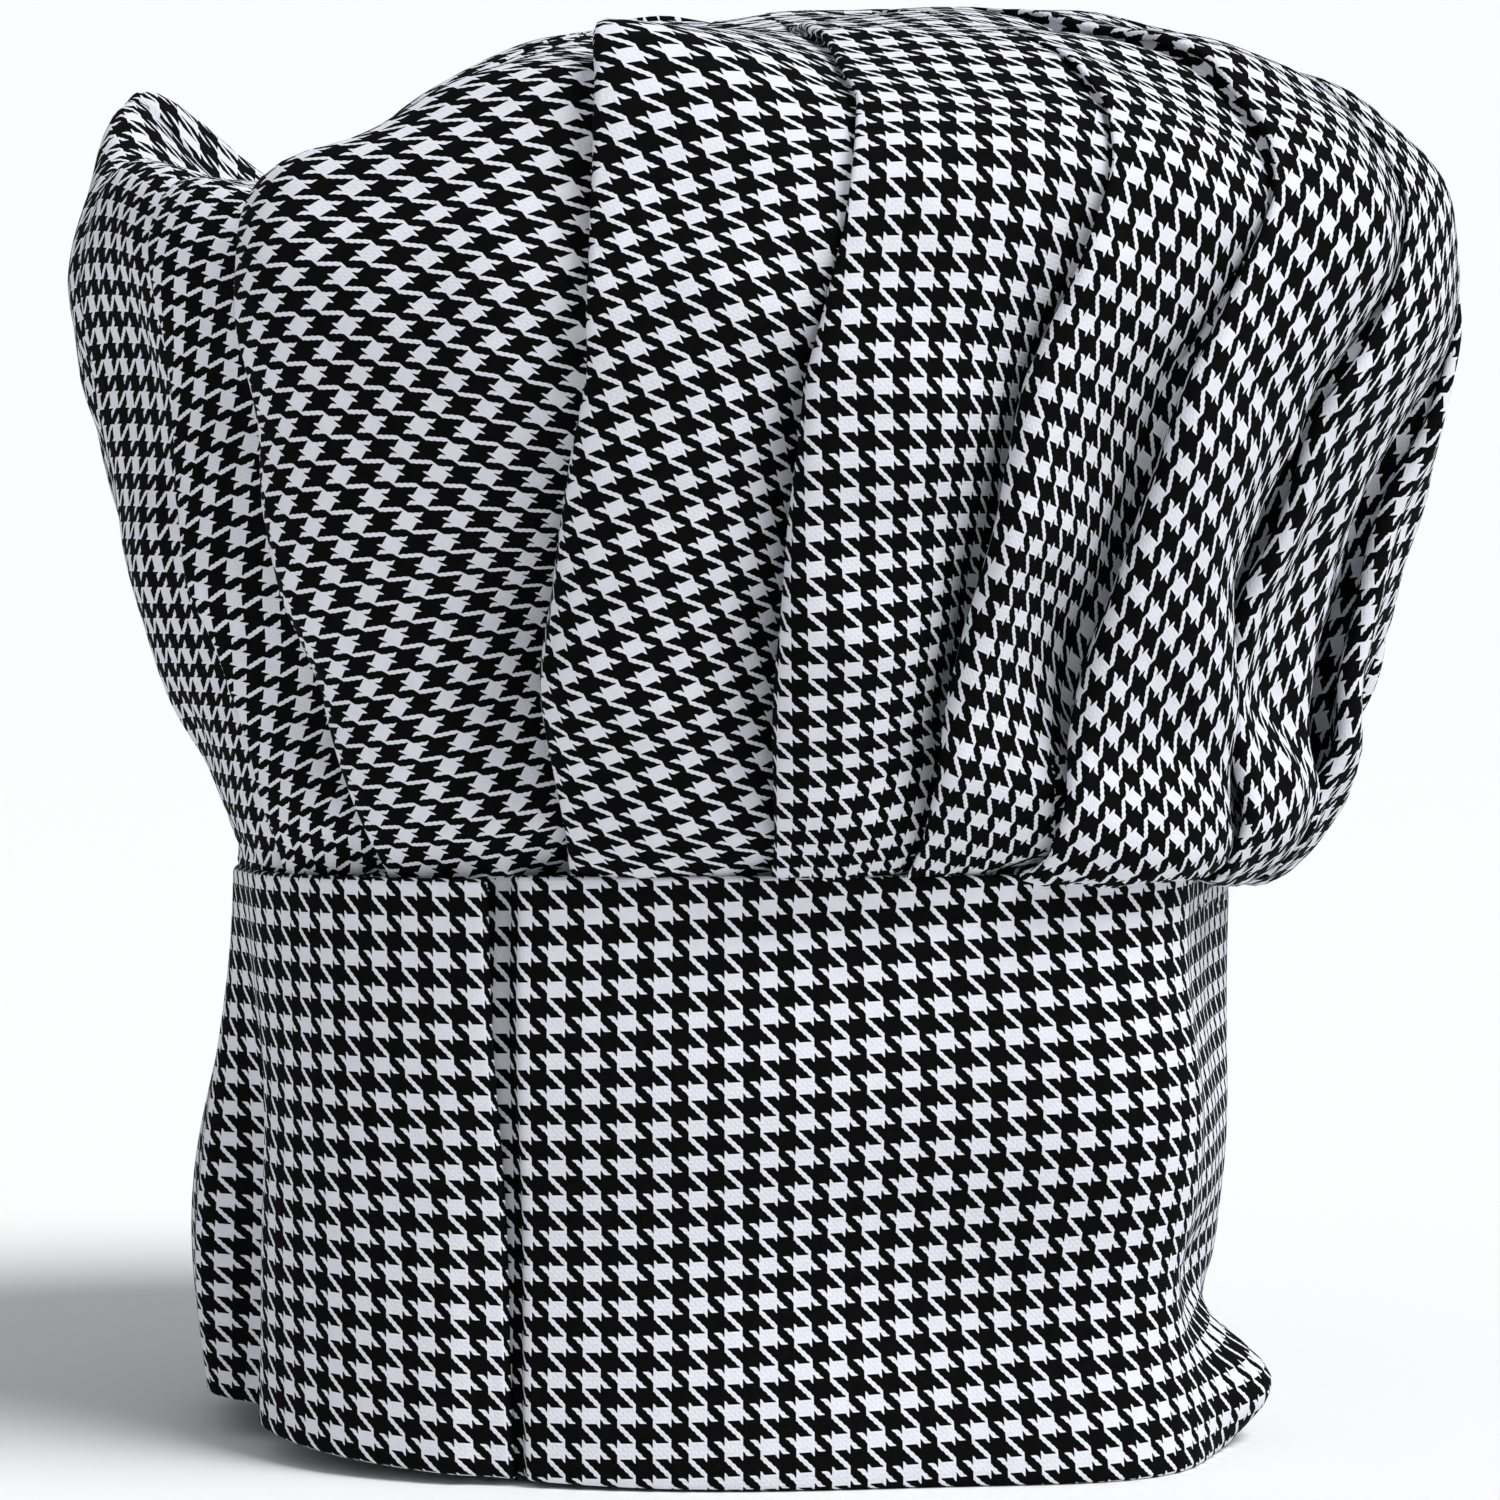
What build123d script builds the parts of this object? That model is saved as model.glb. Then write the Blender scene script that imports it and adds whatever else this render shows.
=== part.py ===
from build123d import *
import os
from math import ceil, cos, exp, hypot, pi, radians, sin

# A pleated chef's hat: a wide band that laps over itself and closes with a hook-and-loop
# tape pair, and a full crown gathered into the band's top edge.
# Frame: origin at the centre of the head opening, on the rim plane. +Z is up, -Y is the
# front where the lap shows, +X is the wearer-facing right of that view. Millimetres.

# --- driving dimensions ---------------------------------------------------------------
BAND_HEIGHT = 102.0
HAT_HEIGHT = 258.0
BAND_RADIUS = 92.0          # mean radius of the band's outer face
LAP_STEP = 5.2              # how far the lower end of the band lies inside the flap
LAP_ROOT = -78.0            # azimuth where the free flap begins, degrees from the front
LAP_EDGE = -23.5            # azimuth of the flap's free edge
LAP_CLEAR = 0.35            # gap between the flap and the rest of the hat

CLOTH = 0.6                 # outer cloth
INTERLINING = 0.8
FACING = 0.45
PLY_GAP = 0.06
CROWN_CLOTH = 1.0           # the crown's pleated cloth, taken as one wall
TAPE = 1.1                  # hook tape and loop tape, backing and pile together
BINDING = 0.5
LABEL = 0.35

TAPE_LOW = 18.0             # height of the tape pair's lower edge
TAPE_HIGH = 70.0
TAPE_INSET = 4.0            # degrees from the flap's free edge to the hook tape
HOOK_SPAN = 33.0            # degrees
LOOP_SPAN = 40.0

BINDING_HEIGHT = 11.0
LABEL_WIDTH = 34.0
LABEL_HEIGHT = 19.0

STITCH_LENGTH = 3.0
STITCH_PITCH = 5.0
STITCH_WIDTH = 0.5
STITCH_RISE = 0.3
STITCH_GAP = 0.06

# The band's outline is a circle with three gentle departures: a flattened front, a squarer
# corner at front right and a fuller shoulder at front left. (azimuth, height, half-width)
OUTLINE_SWELLS = (
    (2.0, -1.5, 20.0),
    (46.0, 16.0, 17.0),
    (-48.0, 6.0, 20.0),
)

# Crown outlines from the seam up: height, then the reach to the left, right, front, back.
CROWN_LEVELS = (
    (109.0, 95.0, 110.0, 104.0, 99.0),
    (121.0, 98.0, 115.0, 109.0, 104.0),
    (138.0, 102.0, 121.0, 114.0, 110.0),
    (159.0, 108.0, 127.0, 118.0, 116.0),
    (180.0, 114.0, 133.0, 121.0, 121.0),
    (199.0, 116.0, 136.5, 123.0, 123.0),
    (214.5, 111.0, 135.5, 121.0, 122.0),
    (228.0, 98.0, 130.0, 114.0, 116.0),
    (239.5, 80.0, 119.0, 101.0, 104.0),
    (244.0, 68.0, 111.0, 93.0, 96.0),
    (251.0, 48.0, 96.0, 74.0, 78.0),
    (255.5, 28.0, 78.0, 50.0, 54.0),
    (HAT_HEIGHT, 12.0, 60.0, 32.0, 34.0),
)

# The slumped corner that stands up at the left: its azimuth, spread and height, and the
# extra reach that it gives the crown at each height.
HORN_AZIMUTH = -98.0
HORN_SPREAD = 24.0
HORN_REACH = ((199.0, 3.0), (214.5, 10.0), (228.0, 20.0), (239.5, 32.0), (244.0, 28.0), (251.0, 0.0))

STRIP_STEP = 6.0            # azimuth step between the points that a wall's curve follows
OUTLINE_POINTS = 36         # points round each level of the crown
BAND_WALL = CLOTH + INTERLINING + FACING + 2 * PLY_GAP


# --- the band's outline -----------------------------------------------------------------
def wrap(angle):
    return (angle + 180.0) % 360.0 - 180.0


def ease(t):
    t = min(1.0, max(0.0, t))
    return t * t * (3.0 - 2.0 * t)


def outline_radius(azimuth):
    swell = sum(h * exp(-((wrap(azimuth - c) / w) ** 2)) for c, h, w in OUTLINE_SWELLS)
    return BAND_RADIUS + swell


def lap_inset(azimuth):
    """Depth of the band's outer face inside the outline: the strip spirals outwards."""
    return LAP_STEP * (1.0 - ease((azimuth + 20.0) / 230.0))


def on_wall(azimuth):
    r = outline_radius(azimuth) - lap_inset(azimuth)
    return r * sin(radians(azimuth)), -r * cos(radians(azimuth))


def heading(azimuth):
    ax, ay = on_wall(azimuth - 0.5)
    bx, by = on_wall(azimuth + 0.5)
    d = hypot(bx - ax, by - ay)
    return (bx - ax) / d, (by - ay) / d


def wall_point(azimuth, depth, z=0.0):
    x, y = on_wall(azimuth)
    tx, ty = heading(azimuth)
    return Vector(x - ty * depth, y + tx * depth, z)


def wall_degrees(azimuth, length):
    """The azimuth change that covers a length along the wall."""
    ax, ay = on_wall(azimuth - 0.5)
    bx, by = on_wall(azimuth + 0.5)
    return length / hypot(bx - ax, by - ay)


def strip(start, end, outer, inner, low, high):
    """A curved strip of cloth that follows the band between two azimuths and two depths."""
    count = max(3, ceil((end - start) / STRIP_STEP))
    angles = [start + (end - start) * k / count for k in range(count + 1)]
    outside = Spline(*[wall_point(a, outer, low) for a in angles])
    inside = Spline(*[wall_point(a, inner, low) for a in angles])
    closing = [Line(outside @ 1, inside @ 1), Line(outside @ 0, inside @ 0)]
    face = make_face([outside, inside] + closing)
    return extrude(face, amount=high - low, dir=(0, 0, 1))


# --- stitches ----------------------------------------------------------------------------
def stitch(azimuth, depth, z, upright=False, inward=True):
    """One thread length lying on a wall face, level or upright."""
    tx, ty = heading(azimuth)
    side = 1.0 if inward else -1.0
    normal = Vector(-ty, tx, 0) * side
    run = Vector(0, 0, 1) if upright else Vector(tx, ty, 0)
    lift = STITCH_GAP + STITCH_RISE / 2
    centre = wall_point(azimuth, depth, z) + normal * lift
    place = Plane(origin=centre, x_dir=run, z_dir=normal)
    return place * Box(STITCH_LENGTH, STITCH_WIDTH, STITCH_RISE)


def stitch_row(start, end, depth, z, inward=True):
    """Level stitches between two azimuths, evenly pitched along the wall."""
    rows = []
    azimuth = start
    while azimuth <= end:
        rows.append(stitch(azimuth, depth, z, inward=inward))
        azimuth += wall_degrees(azimuth, STITCH_PITCH)
    return rows


def stitch_box(start, end, low, high, depth, inward):
    """A rectangle of stitches, as a tape is sewn down along its four edges."""
    rows = stitch_row(start, end, depth, low, inward) + stitch_row(start, end, depth, high, inward)
    count = int((high - low) / STITCH_PITCH) - 1
    for edge in (start, end):
        for k in range(1, count + 1):
            z = low + (high - low) * k / (count + 1)
            rows.append(stitch(edge, depth, z, upright=True, inward=inward))
    return rows


# --- band ----------------------------------------------------------------------------------
BAND_FROM = LAP_ROOT + 1.0                   # hidden end of the strip, behind the flap
BAND_TO = LAP_ROOT + 360.0                   # where the strip passes into the flap
FLAP_FROM = BAND_TO + 0.22
FLAP_TO = LAP_EDGE + 360.0
PLY_2 = CLOTH + PLY_GAP
PLY_3 = PLY_2 + INTERLINING + PLY_GAP


def band_outer():
    return strip(BAND_FROM, BAND_TO, 0.0, CLOTH, 0.0, BAND_HEIGHT)


def band_interlining():
    return strip(BAND_FROM + 1, BAND_TO, PLY_2, PLY_2 + INTERLINING, 1.5, BAND_HEIGHT - 1.0)


def band_facing():
    return strip(BAND_FROM, BAND_TO, PLY_3, PLY_3 + FACING, 1.0, BAND_HEIGHT)


def rim_stitching():
    return Compound(children=stitch_row(BAND_FROM + 2, BAND_TO - 2, BAND_WALL, 4.0))


# --- flap ----------------------------------------------------------------------------------
def flap_ply(outer, inner, trim):
    low = LAP_CLEAR + trim
    high = BAND_HEIGHT - 0.5 - trim
    return strip(FLAP_FROM, FLAP_TO - trim, outer, inner, low, high)


def flap_outer():
    return flap_ply(0.0, CLOTH, 0.0)


def flap_interlining():
    return flap_ply(PLY_2, PLY_2 + INTERLINING, 1.0)


def flap_facing():
    return flap_ply(PLY_3, PLY_3 + FACING, 0.3)


def flap_rim_stitching():
    return Compound(children=stitch_row(FLAP_FROM + 2, FLAP_TO - 3, BAND_WALL, 4.5))


# --- closure -------------------------------------------------------------------------------
HOOK_TO = FLAP_TO - TAPE_INSET
HOOK_FROM = HOOK_TO - HOOK_SPAN
LOOP_TO = LAP_EDGE - TAPE_INSET + 2.0
LOOP_FROM = LOOP_TO - LOOP_SPAN
SEW_IN = 1.6                                 # degrees, and below in mm, from edge to stitches
SEW_UP = 2.5


def hook_tape():
    inner = BAND_WALL + PLY_GAP
    return strip(HOOK_FROM, HOOK_TO, inner, inner + TAPE, TAPE_LOW, TAPE_HIGH)


def hook_tape_stitching():
    depth = BAND_WALL + PLY_GAP + TAPE
    edges = (HOOK_FROM + SEW_IN, HOOK_TO - SEW_IN, TAPE_LOW + SEW_UP, TAPE_HIGH - SEW_UP)
    return Compound(children=stitch_box(*edges, depth, True))


def loop_tape():
    return strip(LOOP_FROM, LOOP_TO, -PLY_GAP - TAPE, -PLY_GAP, TAPE_LOW - 2, TAPE_HIGH + 2)


def loop_tape_stitching():
    depth = -PLY_GAP - TAPE
    edges = (LOOP_FROM + SEW_IN, LOOP_TO - SEW_IN, TAPE_LOW - 2 + SEW_UP, TAPE_HIGH + 2 - SEW_UP)
    return Compound(children=stitch_box(*edges, depth, False))


# --- seam inside the hat -------------------------------------------------------------------
def crown_seam_binding():
    low = BAND_HEIGHT - BINDING_HEIGHT
    inner = BAND_WALL + PLY_GAP
    return strip(BAND_FROM, BAND_TO, inner, inner + BINDING, low, BAND_HEIGHT)


def crown_seam_stitching():
    depth = BAND_WALL + PLY_GAP + BINDING
    z = BAND_HEIGHT - BINDING_HEIGHT / 2
    return Compound(children=stitch_row(BAND_FROM + 2, BAND_TO - 2, depth, z))


def care_label():
    half = wall_degrees(180.0, LABEL_WIDTH) / 2
    high = BAND_HEIGHT - BINDING_HEIGHT - 1.0
    inner = BAND_WALL + PLY_GAP
    return strip(180.0 - half, 180.0 + half, inner, inner + LABEL, high - LABEL_HEIGHT, high)


# --- crown ---------------------------------------------------------------------------------
def seam_outline(depth, z):
    """The closed outline of the crown's gathered edge, just over the band's top edge."""
    points = []
    for k in range(OUTLINE_POINTS):
        azimuth = 360.0 * k / OUTLINE_POINTS
        inset = max(lap_inset(azimuth), LAP_STEP * ease((azimuth - 250.0) / 45.0))
        r = outline_radius(azimuth) - inset - depth
        points.append((r * sin(radians(azimuth)), -r * cos(radians(azimuth)), z))
    return make_face(Spline(*points, periodic=True))


def horn_reach(z):
    """Extra reach at a height, straight between the heights that are given."""
    for (low, a), (high, b) in zip(HORN_REACH, HORN_REACH[1:]):
        if low <= z <= high:
            return a + (b - a) * (z - low) / (high - low)
    return 0.0


def level_outline(level, depth, z_shift):
    """A rounded outline with its own reach to the left, right, front and back."""
    z, left, right, front, back = level
    points = []
    for k in range(OUTLINE_POINTS):
        azimuth = 360.0 * k / OUTLINE_POINTS
        t = radians(azimuth)
        x = (right if sin(t) > 0 else left) * sin(t)
        y = -(front if cos(t) > 0 else back) * cos(t)
        r = hypot(x, y)
        horn = horn_reach(z) * exp(-((wrap(azimuth - HORN_AZIMUTH) / HORN_SPREAD) ** 2))
        grow = (r + horn - depth) / r
        points.append((x * grow, y * grow, z - z_shift))
    return make_face(Spline(*points, periodic=True))


def crown_body(depth, low):
    """The crown's closed shape, drawn in from its outer face by a depth."""
    faces = [seam_outline(depth, low)]
    for level in CROWN_LEVELS:
        draw_in = depth * (1.0 + 2.0 * ease((level[0] - 225.0) / 45.0))
        faces.append(level_outline(level, draw_in, depth))
    return loft(faces, ruled=True)


def crown():
    return crown_body(0.0, BAND_HEIGHT) - crown_body(CROWN_CLOTH, BAND_HEIGHT)


# --- build ---------------------------------------------------------------------------------
PARTS = {
    "crown": crown,
    "crown_seam_binding": crown_seam_binding,
    "crown_seam_stitching": crown_seam_stitching,
    "band_outer": band_outer,
    "band_interlining": band_interlining,
    "band_facing": band_facing,
    "rim_stitching": rim_stitching,
    "care_label": care_label,
    "loop_tape": loop_tape,
    "loop_tape_stitching": loop_tape_stitching,
    "flap_outer": flap_outer,
    "flap_interlining": flap_interlining,
    "flap_facing": flap_facing,
    "flap_rim_stitching": flap_rim_stitching,
    "hook_tape": hook_tape,
    "hook_tape_stitching": hook_tape_stitching,
}

os.makedirs("parts", exist_ok=True)
for name, make in PARTS.items():
    export_step(make(), f"parts/{name}.step")

hinge = wall_point(FLAP_FROM, 0.0)
rim = wall_point(180.0, CLOTH / 2)
print("flap hinge line at", round(hinge.X, 3), round(hinge.Y, 3))
print("rim point at the back", round(rim.X, 3), round(rim.Y, 3))
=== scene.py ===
from math import cos, pi, radians, sin

import bmesh
import bpy
import numpy as np
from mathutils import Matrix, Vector


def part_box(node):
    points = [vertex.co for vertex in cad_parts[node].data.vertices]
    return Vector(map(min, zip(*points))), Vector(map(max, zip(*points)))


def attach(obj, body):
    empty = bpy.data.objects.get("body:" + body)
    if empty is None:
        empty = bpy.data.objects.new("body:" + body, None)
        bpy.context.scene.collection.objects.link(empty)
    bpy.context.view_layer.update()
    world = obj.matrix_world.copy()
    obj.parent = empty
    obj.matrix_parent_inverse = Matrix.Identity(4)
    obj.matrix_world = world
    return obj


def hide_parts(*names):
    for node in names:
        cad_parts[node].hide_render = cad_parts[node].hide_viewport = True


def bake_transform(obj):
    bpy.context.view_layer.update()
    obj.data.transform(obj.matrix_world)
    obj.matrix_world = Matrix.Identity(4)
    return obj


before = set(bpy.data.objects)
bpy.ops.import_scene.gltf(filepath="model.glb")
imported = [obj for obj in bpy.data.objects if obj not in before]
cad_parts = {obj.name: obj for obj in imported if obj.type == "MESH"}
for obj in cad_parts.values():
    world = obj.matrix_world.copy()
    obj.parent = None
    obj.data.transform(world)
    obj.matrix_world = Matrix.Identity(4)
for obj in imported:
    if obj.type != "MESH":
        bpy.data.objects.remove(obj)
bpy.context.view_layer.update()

# A pleated houndstooth chef's hat. Lengths are millimetres here and become metres in make_mesh.
# Azimuths are degrees round the hat from its front (-Y), positive towards +X.
MM = 0.001
SEED = 11
FULL_TURN = 360.0
DEGREE = radians(1.0)
FINE = 900                          # points along a curve before its length is measured

# --- the band's outline, the same formula as the frame's ------------------------------------
BAND_RADIUS = 92.0
LAP_STEP = 5.2                      # how far the lower end lies inside the flap
LAP_FADE = (-20.0, 230.0)           # azimuth from which that step fades, and over how much
PUFF = 3.4                          # the band swells out again beside the flap's edge
PUFF_FADE = (8.0, 60.0)             # past the edge, in the same way
GROOVE = (0.4, 1.5, 1.6)            # between edge and puff: its gap, its width, what the top adds to it
LAP_ROOT = -78.0
LAP_EDGE = -23.5
OUTLINE_SWELLS = ((2.0, -1.5, 20.0), (46.0, 16.0, 17.0), (-48.0, 6.0, 20.0))
BAND_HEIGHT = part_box("band_outer")[1][2] / MM
BAND_FROM = LAP_ROOT + 1.0          # the strip's hidden lower end
BEND_FROM = LAP_ROOT + 338.0        # the flap piece starts 22 degrees before its root
FLAP_TO = LAP_EDGE + FULL_TURN
FLAP_LEAN = 2.4                     # degrees by which its free edge leans, its foot to the right
RUN_HEIGHT = 60.0                   # height at which lengths round the band are taken

# --- the cloth: a check of eight threads each way ---------------------------------------------
REPEAT = 5.95                       # one houndstooth check
THREADS = 8.0                       # in one repeat
TWILL = 4.0                         # threads from one of the twill's diagonals to the next
DARK_WARP = 3.9                     # threads in a repeat that show dark
DARK_WEFT = 4.45
PALE_LINE = 0.68                    # half the width of the pale diagonals, over which the dark spreads

# thicknesses and gaps of the layers
CLOTH = 0.45
CLEAR = 0.15
STIFFENER = 0.6
FACING_CLOTH = 0.4
TAPE = 0.9
BINDING_TAPE = 0.5
LABEL_CLOTH = 0.3


def wrap(angle):
    return (angle + 180.0) % 360.0 - 180.0


def ease(t):
    t = np.clip(t, 0.0, 1.0)
    return t * t * (3.0 - 2.0 * t)


def bump(x, centre, width):
    return np.exp(-(((x - centre) / width) ** 2))


def outline_radius(azimuth):
    swell = sum(h * bump(wrap(azimuth - c), 0.0, w) for c, h, w in OUTLINE_SWELLS)
    return BAND_RADIUS + swell


def lean(z):
    """How far round the flap's free edge stands from its middle, at a height."""
    return FLAP_LEAN * (0.5 - z / BAND_HEIGHT)


def lap_inset(azimuth, z):
    """How far the band lies inside its plain outline, beside and under the flap."""
    gap, width, widens = GROOVE
    rise = ease((azimuth - LAP_EDGE - lean(z) - gap) / (width + widens * z / BAND_HEIGHT))
    puff = rise * (1.0 - ease((azimuth - LAP_EDGE - PUFF_FADE[0]) / PUFF_FADE[1]))
    return LAP_STEP * (1.0 - ease((azimuth - LAP_FADE[0]) / LAP_FADE[1])) - PUFF * puff


# Departures of the worn band from its plain outline: azimuth and height, a spread for each, and
# how far out.
BAND_RELIEF = (
    (-64.0, 32.0, 5.5, 42.0, -8.6),
    (-71.0, 30.0, 5.0, 45.0, 4.5),
    (-90.0, 31.0, 18.0, 43.0, 10.2),
    (-95.0, 60.0, 26.0, 90.0, -5.0),
    (-40.0, 60.0, 10.0, 60.0, 1.0),
    (88.0, 85.0, 26.0, 60.0, 4.4),
    (69.0, 9.0, 11.0, 10.0, 13.0),
    (62.0, 31.0, 9.0, 8.0, -3.0),
    (80.0, 21.0, 14.0, 6.0, -2.4),
    (57.0, 70.0, 5.0, 45.0, -1.6),
    (8.0, 102.0, 20.0, 4.0, 2.2),
    (8.0, 94.0, 20.0, 2.4, -1.3),
    (30.0, 84.0, 16.0, 16.0, 1.4),
    (150.0, 30.0, 24.0, 40.0, 3.0),
    (205.0, 60.0, 22.0, 40.0, -3.5),
)
# Where the bottom edge has ridden up, most of all at the left side: azimuth, spread, lift.
HEM_LIFTS = ((-85.0, 46.0, 7.5), (74.0, 9.0, 2.0))
HEM_REACH = 70.0                    # height at which the lift has died away


def band_relief(azimuth, z):
    """How far out the worn band stands from its plain outline."""
    a = wrap(azimuth)
    total = sum(h * bump(wrap(a - c), 0.0, w) * bump(z, zc, zw) for c, zc, w, zw, h in BAND_RELIEF)
    # a slow and a quicker waver round the band, none at its edges, and one slanted roll at the front
    slow = 0.5 * np.sin(DEGREE * (a * 5.0) + z * 0.05)
    quick = 0.35 * np.sin(DEGREE * a * 9.0 - z * 0.08)
    roll = 2.2 * np.sin(2 * pi * (z - 48.0 + (a - 20.0) * 0.2) / 62.0) * bump(a, 32.0, 44.0)
    return total + roll + (slow + quick) * ease(1.0 - abs(z - 60.0) / 60.0)


def hem_lift(azimuth):
    """How far the bottom edge has ridden up."""
    return sum(lift * bump(wrap(azimuth - c), 0.0, w) for c, w, lift in HEM_LIFTS)


def wall_xy(azimuth, z):
    r = outline_radius(azimuth) - lap_inset(azimuth, z) + band_relief(azimuth, z)
    t = np.radians(azimuth)
    return r * np.sin(t), -r * np.cos(t)


def wall(azimuth, depth, z):
    """Points of the band at a depth inside its outer face."""
    beside = 0.4                    # degrees, for the direction round the band
    azimuth, depth, z = np.broadcast_arrays(azimuth, depth, z)
    x, y = wall_xy(azimuth, z)
    ax, ay = wall_xy(azimuth - beside, z)
    bx, by = wall_xy(azimuth + beside, z)
    tx, ty = bx - ax, by - ay
    d = np.hypot(tx, ty)
    up = z + hem_lift(azimuth) * np.clip(1.0 - z / HEM_REACH, 0.0, 1.0) ** 1.5
    return np.stack([x - ty / d * depth, y + tx / d * depth, up + 0.0 * x], axis=-1)


def distances(path):
    """Length along a path of points, from 0 at its first."""
    return np.concatenate([[0.0], np.cumsum(np.linalg.norm(np.diff(path, axis=0), axis=1))])


WALL_AZIMUTHS = np.linspace(BAND_FROM - 4, FLAP_TO + 4, FINE)
WALL_RUN = distances(np.stack(wall_xy(WALL_AZIMUTHS, RUN_HEIGHT), axis=-1))


def run_at(azimuth):
    """Length along the band, in mm, at an azimuth."""
    return np.interp(azimuth, WALL_AZIMUTHS, WALL_RUN)


# The cloth's rows climb a little to the right across the front of the band.
ROW_SLOPE = 0.05 * ease((WALL_AZIMUTHS + 60.0) / 60.0) * (1.0 - ease((WALL_AZIMUTHS - 70.0) / 80.0))
ROW_RISE = np.cumsum(ROW_SLOPE * np.gradient(WALL_RUN))


def azimuth_at(run):
    return np.interp(run, WALL_RUN, WALL_AZIMUTHS)


# --- meshes ----------------------------------------------------------------------------------
def make_mesh(name, points, faces, uvs=None, material=None):
    """A mesh object from points in mm, faces, and one UV for each point."""
    mesh = bpy.data.meshes.new(name)
    flat = np.asarray(points, float).reshape(-1, 3) * MM
    mesh.from_pydata(flat.tolist(), [], [tuple(int(i) for i in f) for f in faces])
    if uvs is not None:
        layer = mesh.uv_layers.new(name="cloth")
        corners = np.zeros(len(mesh.loops), dtype=np.int32)
        mesh.loops.foreach_get("vertex_index", corners)
        flat_uv = np.asarray(uvs, float).reshape(-1, 2)[corners]
        layer.data.foreach_set("uv", flat_uv.ravel())
    mesh.polygons.foreach_set("use_smooth", [True] * len(mesh.polygons))
    if material is not None:
        mesh.materials.append(material)
    mesh.update()
    obj = bpy.data.objects.new(name, mesh)
    bpy.context.scene.collection.objects.link(obj)
    return obj


def grid_faces(rows, cols, closed=False):
    """Quads of a grid of rows by cols, wound so that they face out for rows up, cols to the right."""
    faces = []
    for r in range(rows - 1):
        for c in range(cols if closed else cols - 1):
            d = (c + 1) % cols
            faces.append((r * cols + c, r * cols + d, (r + 1) * cols + d, (r + 1) * cols + c))
    return faces


def thicken(obj, thickness):
    """Gives a surface a cloth's thickness, on its inner side."""
    solid = obj.modifiers.new("thickness", "SOLIDIFY")
    solid.thickness = thickness * MM
    solid.offset = -1.0
    solid.use_even_offset = False


# --- crown -----------------------------------------------------------------------------------
PLEATS = 18
# The part of the crown's disc that each pleat takes up, in degrees, from the left round by the front.
PLEAT_TURNS = (20.0, 20.0, 27.0, 18.5, 22.0, 18.0, 20.0, 21.0, 20.0) + 9 * (173.5 / 9,)
TURN_STARTS = np.cumsum((0.0,) + PLEAT_TURNS)
FRONT_PLEAT = 4                     # the one whose grain hangs straight

# Meridians of the crown at the left, right, front and back: distance from the middle, height.
LEFT = ((84, 101), (84.3, 106), (91, 118), (101, 131), (108.5, 146), (116, 174), (121, 198), (121, 214),
        (115, 226), (98, 226), (78, 229), (58, 239.5), (38, 252.3), (18, 257), (0, 255))
RIGHT = ((89, 100), (93, 97.5), (98, 99.5), (105, 106), (112, 117), (118, 131), (121, 148),
         (124.8, 168), (132, 190), (133, 207), (129, 223), (112.5, 238.5), (93, 248.5), (71, 254),
         (40, 255.2), (18, 255.3), (0, 255))
FRONT = ((84, 101), (87, 104), (92, 109), (103, 126), (113, 149), (119, 176), (119, 200), (112, 220),
         (97, 235), (74, 244), (45, 250.5), (20, 254.5), (0, 255))
BACK = ((90, 101), (95, 106), (103, 118), (112, 140), (119, 166), (122, 190), (120, 208), (113, 224),
        (99, 238), (76, 248), (48, 253.5), (22, 255), (0, 255))
POLE_X = 6.0                        # the middle of the top stands this far to the right
CURVE_POINTS = 240
SEAM_INSET = 0.9                    # the crown's lower edge lies this far inside the band's face
SEAM_REACH = 0.2                    # part of a meridian over which the crown leaves the band's outline

# Fold edges: azimuth at the seam, at mid height, at the shoulder and at the top.
FOLDS = (
    (-74.0, -77.0, -80.0, -84.0),
    (-51.0, -57.0, -60.0, -64.0),
    (-36.0, -41.5, -45.5, -50.0),
    (-15.5, -10.2, -11.5, -22.0),
    (6.0, 7.0, 10.6, 6.0),
    (20.5, 25.3, 33.5, 30.0),
    (32.0, 39.5, 51.0, 56.0),
    (54.0, 58.0, 70.0, 80.0),
    (75.0, 80.0, 87.0, 95.0),
    (93.0, 96.0, 101.0, 108.0),
    (114.0, 114.0, 119.0, 124.0),
    (134.0, 135.0, 136.0, 141.0),
    (156.0, 154.0, 157.0, 161.0),
    (176.0, 177.0, 178.0, 180.0),
    (199.0, 197.0, 198.0, 200.0),
    (220.0, 220.0, 219.0, 221.0),
    (243.0, 241.0, 240.0, 240.0),
    (264.0, 262.0, 260.0, 257.0),
)
FOLD_LEVELS = (0.0, 0.36, 0.56, 1.0)
PLEAT_DEPTH = 7.2                   # how deep a panel's far side usually dives under the next fold
SEAM_DEPTH = 2.2                    # and at the seam, where the band's edge holds it
# Each panel's depth, as a multiple of the usual.
FOLD_DEPTH = (1.1, 2.6, 4.0, 1.8, 1.9, 1.9, 1.2, 1.2, 1.1, 1.0, 1.2, 0.9, 1.1, 1.2, 0.9, 1.0, 1.1, 1.0)
# How straight each panel's slope is from its fold to where it dives: 1 is an even slope.
FOLD_SLOPE = (0.3, 0.8, 0.4, 0.3, 0.25, 0.9, 0.35, 0.4, 0.3, 0.3, 0.3, 0.3, 0.3, 0.3, 0.3, 0.3, 0.3, 0.3)
# How far up each fold still shows as a step, as a meridian fraction.
FOLD_TOP = (0.5, 0.55, 0.66, 0.9, 0.86, 0.68, 0.84, 0.58, 0.6, 0.5, 0.5, 0.5, 0.6, 0.5, 0.5, 0.6, 0.5, 0.5)
FOLD_STEP = (1.5, 2.0, 4.2, 6.5, 2.8, 2.4, 3.4, 1.6, 1.5) + 9 * (1.2,)     # the step's height there

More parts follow.
